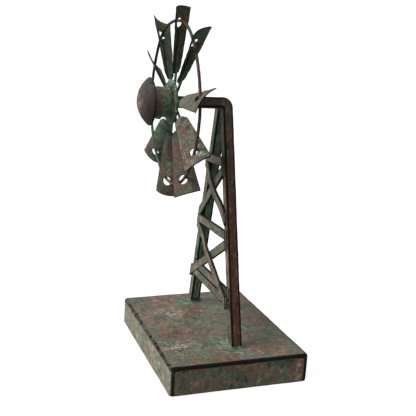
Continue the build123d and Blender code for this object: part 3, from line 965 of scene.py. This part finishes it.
def make_dome():
    """A beaten cap: a thin shell with a rolled rim."""
    rim_r, rim, apex = turned_box("dome_cap")
    sheet = 1.5
    rise = apex - rim
    sphere = (rim_r ** 2 + rise ** 2) / (2 * rise)
    centre = apex - sphere
    spread = atan2(rim_r, rim - centre)

    def arc(radius, steps):
        """The cap's section at one radius, from the apex to the rim."""
        angles = [spread * k / steps for k in range(steps + 1)]
        return [(radius * sin(angle), centre + radius * cos(angle)) for angle in angles]

    outside = arc(sphere, 22)
    inside = arc(sphere - sheet, 16)[::-1]
    outside[0] = (0.4, apex)
    inside[-1] = (0.4, apex - sheet)
    lip = ((outside[-1][0] + inside[0][0]) / 2 + 0.35, (outside[-1][1] + inside[0][1]) / 2 - 0.45)
    profile = outside + [lip] + inside
    points, faces = skin(lathe(profile, 96, 0.5, 101.0), closed=True)
    p = np.array(points)
    _, r, _, _ = wheel_polar(p)
    inner = np.linalg.norm(p - np.array(WHEEL + FRONT * centre), axis=1) < sphere - sheet / 2
    # The apex is painted paler as a painted highlight, and the cap is painted darker towards its rim as
    # painted shade. The inside of the cap is darker as well.
    tones = {
        "edge": 0.5 * fade(r, rim_r - 2.0, rim_r - 0.2),
        "light": 0.3 * (1 - fade(r, rim_r * 0.15, rim_r * 0.45)) * (1 - inner),
        "rust": 0.12 * (1 - fade(r, rim_r * 0.45, rim_r * 0.9)),
        "dark": 0.6 * inner + 0.12 * fade(r, rim_r * 0.6, rim_r * 0.9),
        "shade": -0.33 - 0.5 * fade(r, rim_r * 0.2, rim_r),
    }
    make_piece(
        "dome_shell", "wheel", "dome_patina", ["dome_cap"], points, faces, tones,
        rough=((16, 0.45), (6, 0.14), (2, 0.05)), seed=101.0,
    )


def make_hub_weld():
    """A weld bead between the drum and the flange, and one under the dome."""
    parts = []
    drum_r, back, front = turned_box("hub_drum")
    for forward, radius, size, start, stop in (
        (back + 0.4, drum_r - 0.2, 1.2, 150, 390),
        (front - 0.6, drum_r - 0.4, 1.3, 0, 360),
    ):
        count = round((stop - start) / 5)
        for k in range(count):
            angle = radians(start + (stop - start) * k / count)
            way = Vector((cos(angle), 0, sin(angle)))
            along = FRONT.cross(way)
            grow = size * (1 + 0.25 * noise.noise(Vector((k * 0.8, forward, 1.5))))
            centre = WHEEL + way * radius + FRONT * forward
            parts.append(blob(centre, (way * grow, FRONT * grow, along * grow * 1.1), 6, 10))
    points, faces = joined(parts)
    p = np.array(points)
    forward, _, _, _ = wheel_polar(p)
    # The bead under the dome is painted darker, as painted shade.
    tones = {"green": 0.25, "dark": 0.5 * fade(forward, 20, 30)}
    make_piece(
        "hub_weld_beads", "wheel", "hub_patina", [], points, faces, tones, rough=((2, 0.15),), seed=107.0,
    )


# ---- hoop, spokes and blades ----

def outwards_at(angle):
    return Vector((sin(radians(angle)), 0, cos(radians(angle))))


def hoop_radius(angle):
    """Radius of the hoop's centre line, which goes smoothly from each bend to the next."""
    following = HOOP_BENDS[1:] + ((HOOP_BENDS[0][0] + 360, HOOP_BENDS[0][1]),)
    for (start, here), (stop, there) in zip(HOOP_BENDS, following):
        if start <= angle % 360 <= stop:
            return RING_R + here + (there - here) * float(fade(angle % 360, start, stop))


def blade_axes(blade):
    """Directions at a blade: outwards, across its sheet, and square to its sheet towards the back."""
    outwards = outwards_at(blade.angle)
    across = outwards_at(blade.angle + 90) * cos(radians(blade.pitch)) + FRONT * sin(radians(blade.pitch))
    return outwards, across, outwards.cross(across)


def wire(line, radius, around=12):
    """Rings of a round wire along a line of points that closes on itself."""
    rings = []
    for i, point in enumerate(line):
        tangent = (line[(i + 1) % len(line)] - line[i - 1]).normalized()
        first = tangent.cross(FRONT).normalized()
        second = tangent.cross(first)
        turns = full_turn(around)
        rings.append([point + first * radius * cos(t) + second * radius * sin(t) for t in turns])
    return rings


def make_ring():
    line = []
    for k in range(240):
        angle = 360 * k / 240
        out = outwards_at(angle)
        wander = 0.3 * noise.noise(out * 4)
        line.append(WHEEL + out * (hoop_radius(angle) + wander))
    points, faces = skin(wire(line, WIRE_R + CRUST), closed=True)
    p = np.array(points)
    _, _, x, z = wheel_polar(p)
    right = fade(x, -20, 40)
    tones = {
        "rust": 0.45 * right * (1 - near(p, WHEEL + Vector((60, 0, 84)), 40)),
        "shade": -0.15 - 0.2 * right,
        "green": 0.3 * (1 - right) + 0.2 * near(p, WHEEL + Vector((95, 0, -36)), 45),
        "dark": 0.12 + 0.3 * (1 - right) * fade(z, 0, 60),
        "mint": 0.12 * near(p, WHEEL + Vector((100, 0, -40)), 30),
    }
    make_piece(
        "rim_wire", "wheel", "spoke_patina", ["rim_ring"], points, faces, tones,
        rough=((6, 0.12), (1.5, 0.06)), seed=111.0,
    )


def make_spoke(number):
    low_r, high_r = 14, 97
    outwards, across, back = blade_axes(BLADES[number - 1])
    line = []
    for s, inset in stations(high_r - low_r, 3, 0.4):
        sway = 0.25 * noise.noise(Vector((s / 25, number, 0.7)))
        line.append((WHEEL + outwards * (low_r + s) + across * sway, 1 - inset / WIRE_R))
    rings = []
    turns = full_turn(12)
    for point, shrink in line:
        radius = (WIRE_R + CRUST / 2) * shrink
        rings.append([point + (across * cos(turn) + back * sin(turn)) * radius for turn in turns])
    points, faces = skin(rings)
    p = np.array(points)
    _, r, _, _ = wheel_polar(p)
    tones = {
        "green": 0.3 * (1 - fade(r, 40, 70)) + 0.1,
        "dark": 0.15 * fade(r, 45, 80),
    }
    make_piece(
        f"spoke_wire_{number:02d}", "wheel", "spoke_patina", [f"spoke_{number:02d}"], points, faces, tones,
        rough=((5, 0.12), (1.5, 0.06)), seed=120.0 + number,
    )


# Brighter and darker places on single blades: blade, x across, y outwards, radius, layer, strength.
BLADE_SPOTS = (
    (1, -8, 112, 26, "rust", 0.1),
    (1, -10, 62, 34, "rust", 0.3),
    (1, 10, 90, 22, "green", 0.25),
    (2, 6, 108, 30, "green", 0.15),
    (2, 4, 70, 24, "dark", 0.25),
    (3, 12, 100, 20, "mint", 0.12),
    (3, 0, 66, 22, "rust", 0.12),
    (3, -17, 90, 20, "mint", 0.25),
    (4, -4, 117, 15, "mint", 0.3),
    (4, -12, 76, 18, "green", 0.25),
    (4, 12, 116, 14, "rust", 0.15),
    (4, 17, 66, 16, "green", 0.35),
    (5, -8, 118, 14, "mint", 0.18),
    (5, -4, 122, 16, "green", 0.25),
    (5, 8, 60, 14, "rust", 0.2),
    (6, -2, 92, 13, "mint", 0.25),
    (6, -4, 78, 15, "green", 0.3),
    (7, 0, 58, 22, "green", 0.4),
    (7, -6, 80, 20, "green", 0.15),
    (7, 12, 100, 22, "rust", 0.2),
    (10, 10, 84, 26, "green", 0.25),
    (10, -8, 112, 22, "rust", 0.15),
)


def make_blade(number):
    """A tapering sheet with a hole near its tip, hollow towards the back, beaten by hand."""
    blade = BLADES[number - 1]
    outwards, across, back = blade_axes(blade)
    tip_r = TIP_R + blade.extra
    start = ROOT_R + ROOT_BEVEL
    columns = 26
    rows = [ROOT_R + ROOT_BEVEL * k / 5 for k in range(5)]
    count = round((tip_r - start) / 1.5)
    rows += [start + (tip_r - start) * k / count for k in range(count + 1)]

    def half_width(y, side):
        if y < start:
            return ROOT_W / 4 * (1 + (y - ROOT_R) / ROOT_BEVEL)
        widest = blade.leading if side > 0 else blade.trailing
        return ROOT_W / 2 + (widest - ROOT_W / 2) * (y - start) / (tip_r - start)

    flat = []
    for y in rows:
        for i in range(columns + 1):
            t = -1 + 2 * i / columns
            bow = TIP_CROWN * (1 - t * t) * max(0, (y - start) / (tip_r - start)) ** 3
            flat.append([t * half_width(y, t), y + bow])
    flat = np.array(flat)
    hole = np.array((0.0, blade.hole - blade.slide))
    faces, removed, kept = [], set(), set()
    for j in range(len(rows) - 1):
        for i in range(columns):
            a = j * (columns + 1) + i
            face = (a, a + 1, a + columns + 2, a + columns + 1)
            if np.linalg.norm(flat[list(face)].mean(0) - hole) < HOLE_R:
                removed.update(face)
            else:
                faces.append(face)
                kept.update(face)
    for i in removed & kept:
        flat[i] = hole + (flat[i] - hole) / np.linalg.norm(flat[i] - hole) * HOLE_R
    order = sorted(kept)
    new = {old: k for k, old in enumerate(order)}
    faces = [tuple(new[i] for i in face) for face in faces]
    flat = flat[order]

    rng = np.random.default_rng(number)
    lean, twist = rng.uniform(-0.4, 0.4), rng.uniform(-0.8, 0.8)
    seed = 200.0 + number * 3
    beaten = lumps([(x, y, 0) for x, y in flat], 15, seed) * 0.7
    beaten = beaten + lumps([(x, y, 0) for x, y in flat], 6, seed + 1) * 0.25
    points, edge, shade = [], [], []
    for (x, y), dent in zip(flat, beaten):
        half = half_width(min(y, tip_r), x)
        t = x / half
        tip_w = blade.leading + blade.trailing
        width = ROOT_W + (tip_w - ROOT_W) * min(1, max(0, (y - start) / (tip_r - start)))
        sag = blade.camber * width / tip_w * t * t
        curl = fade(y, 90, tip_r) * (lean * t + twist * t * t * 0.5)
        z = -WIRE_R - SHEET / 2 + sag + dent * (0.35 + 0.65 * abs(t)) + curl
        points.append(WHEEL + outwards * (y + blade.slide) + across * x + back * z)
        tip = tip_r + TIP_CROWN * (1 - t * t) - y
        away = min(half - abs(x), tip, y - ROOT_R, abs(np.hypot(*(np.array((x, y)) - hole)) - HOLE_R) + 0.4)
        edge.append(max(0.0, 1 - away / 1.3))
        # Painted light and shade: each point is made lighter or darker with the depth of its hammer dent.
        shade.append(blade.shade + 0.25 * dent)
    tones = {layer: getattr(blade, layer) for layer in ("rust", "green", "dark", "light")}
    tones.update(mint=0, edge=edge, shade=shade)
    for which, x, y, radius, layer, strength in BLADE_SPOTS:
        if which == number:
            tones[layer] = tones[layer] + strength * near(flat, (x, y), radius)
    tones["green"] = tones["green"] + 0.22 * (1 - fade(flat[:, 1], 40, 62))
    modifiers = (
        ("SUBSURF", {"levels": 1, "render_levels": 1}),
        ("SOLIDIFY", {"thickness": SHEET * MM, "offset": 0.0}),
        ("BEVEL", {"width": 0.32 * MM, "segments": 2, "limit_method": "ANGLE", "angle_limit": radians(50)}),
    )
    make_piece(
        f"blade_sheet_{number:02d}", "wheel", "blade_patina", [f"blade_{number:02d}"], points, faces, tones,
        seed=seed, modifiers=modifiers,
    )


def make_ring_welds():
    """A lump of weld in each blade's hole, where the hoop passes closest to the sheet."""
    size = 2.0
    parts = []
    for number, blade in enumerate(BLADES, 1):
        outwards, across, back = blade_axes(blade)
        out = hoop_radius(blade.angle)
        aside = sqrt(HOLE_R ** 2 - (out - blade.hole) ** 2) - size * 0.4
        sag = blade.camber * (aside / blade.trailing) ** 2
        centre = WHEEL + outwards * out - across * aside + back * (sag - WIRE_R - SHEET / 2)
        grow = size * (1 + 0.15 * noise.noise(Vector((number * 1.3, 0.2, 0.4))))
        parts.append(blob(centre, (across * grow, back * grow * 0.9, outwards * grow * 1.1), 10, 16))
    make_piece(
        "hoop_weld_lumps", "wheel", "spoke_patina", ["ring_welds"], *joined(parts),
        {"green": 0.2, "dark": 0.1}, rough=((1.6, 0.2),), seed=301.0,
    )


# ---- CAD nodes that stay as they are ----

KEPT_NODES = {
    "base_bottom": "base_patina",
    "axle": "plain_steel",
    "axle_nut": "plain_steel",
    "rear_washer": "plain_steel",
    "front_washer": "plain_steel",
    "hub_front_plate": "hub_patina",
    "hub_bush": "bush_brass",
}


# ---- studio ----

EYE = (0.90704, -0.34907, 0.44518)          # metres
EYE_TURN, EYE_DOWN, EYE_ROLL = 69.62, 13.76, 3.33
LENS = 63.13
KEY_FROM, KEY_POWER, KEY_SPREAD = (-0.15, -1.0, 0.75), 3.0, 24
SKY_FROM, SKY_DIM, SKY_BRIGHT = (-0.25, -0.85, 0.8), 0.16, 1.3
SWEEP_FLAT_R, SWEEP_WALL_R = 6000, 6000

def make_studio():
    """A plain white sweep, soft daylight from the wheel's side, and the camera."""
    rings = []
    profile = [(1, 0), (1500, 0), (SWEEP_FLAT_R, 0)]
    for angle in range(15, 181, 15):
        out = SWEEP_FLAT_R + SWEEP_WALL_R * sin(radians(angle))
        profile.append((out, SWEEP_WALL_R * (1 - cos(radians(angle)))))
    for r, z in profile:
        rings.append([Vector((r * cos(t), r * sin(t), z)) for t in full_turn(48)])
    points, faces = skin(rings)
    mesh = bpy.data.meshes.new("sweep")
    mesh.from_pydata([tuple(p * MM) for p in points], [], faces)
    mesh.shade_smooth()
    sweep = add_object("sweep", mesh)
    paper = bpy.data.materials.new("studio_paper")
    paper.use_nodes = True
    shader = paper.node_tree.nodes["Principled BSDF"]
    set_inputs(shader, {"Base Color": (0.2, 0.2, 0.2, 1), "Roughness": 1, "Specular IOR Level": 0})
    set_inputs(shader, {"Emission Color": (1, 1, 1, 1), "Emission Strength": 0.86})
    mesh.materials.append(paper)
    sweep.visible_diffuse = False
    sweep.visible_glossy = False
    sweep.visible_shadow = False

    world = bpy.data.worlds.new("studio")
    bpy.context.scene.world = world
    n = Nodes(world)
    split = n.new("ShaderNodeVectorMath", operation="DOT_PRODUCT")
    n.put(split.inputs[0], n.place.node.outputs["Generated"])
    n.put(split.inputs[1], Vector(SKY_FROM).normalized())
    ramp = n.step(split.outputs["Value"], -0.9, 0.95)
    set_inputs(ramp.node, {"To Min": SKY_DIM, "To Max": SKY_BRIGHT})
    light = n.new("ShaderNodeBackground")
    n.put(light.inputs["Strength"], ramp)
    n.put(n.new("ShaderNodeOutputWorld").inputs["Surface"], light.outputs["Background"])

    key = bpy.data.lights.new("key", "SUN")
    key.energy = KEY_POWER
    key.angle = radians(KEY_SPREAD)
    add_object("key", key).rotation_euler = Vector(KEY_FROM).to_track_quat("Z", "Y").to_euler()

    camera = bpy.data.cameras.new("camera")
    camera.lens = LENS
    camera.sensor_width = 36
    camera.clip_end = 50
    eye = add_object("camera", camera)
    turn = Matrix.Rotation(radians(EYE_TURN), 4, "Z") @ Matrix.Rotation(radians(90 - EYE_DOWN), 4, "X")
    turn = turn @ Matrix.Rotation(radians(EYE_ROLL), 4, "Z")
    eye.matrix_world = Matrix.Translation(EYE) @ turn
    bpy.context.scene.camera = eye
    bpy.context.scene.view_settings.view_transform = "Standard"
    bpy.context.scene.view_settings.look = "None"


# ---- all of it ----

make_base()
make_near_leg_arm()
make_far_leg()
make_foot_weld("near_foot_bead", "near_foot_weld", near_foot, 3.0)
make_foot_weld("far_foot_bead", "far_foot_weld", far_foot, 5.0)
make_apex_weld()
for number in range(len(STRAPS)):
    make_strap(number)
make_strap_welds()
make_flange()
make_drum()
make_dome()
make_hub_weld()
make_ring()
for number in range(1, len(BLADES) + 1):
    make_spoke(number)
    make_blade(number)
make_ring_welds()
for node, slot in KEPT_NODES.items():
    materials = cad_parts[node].data.materials
    materials.clear()
    materials.append(MATERIALS[slot])
make_studio()
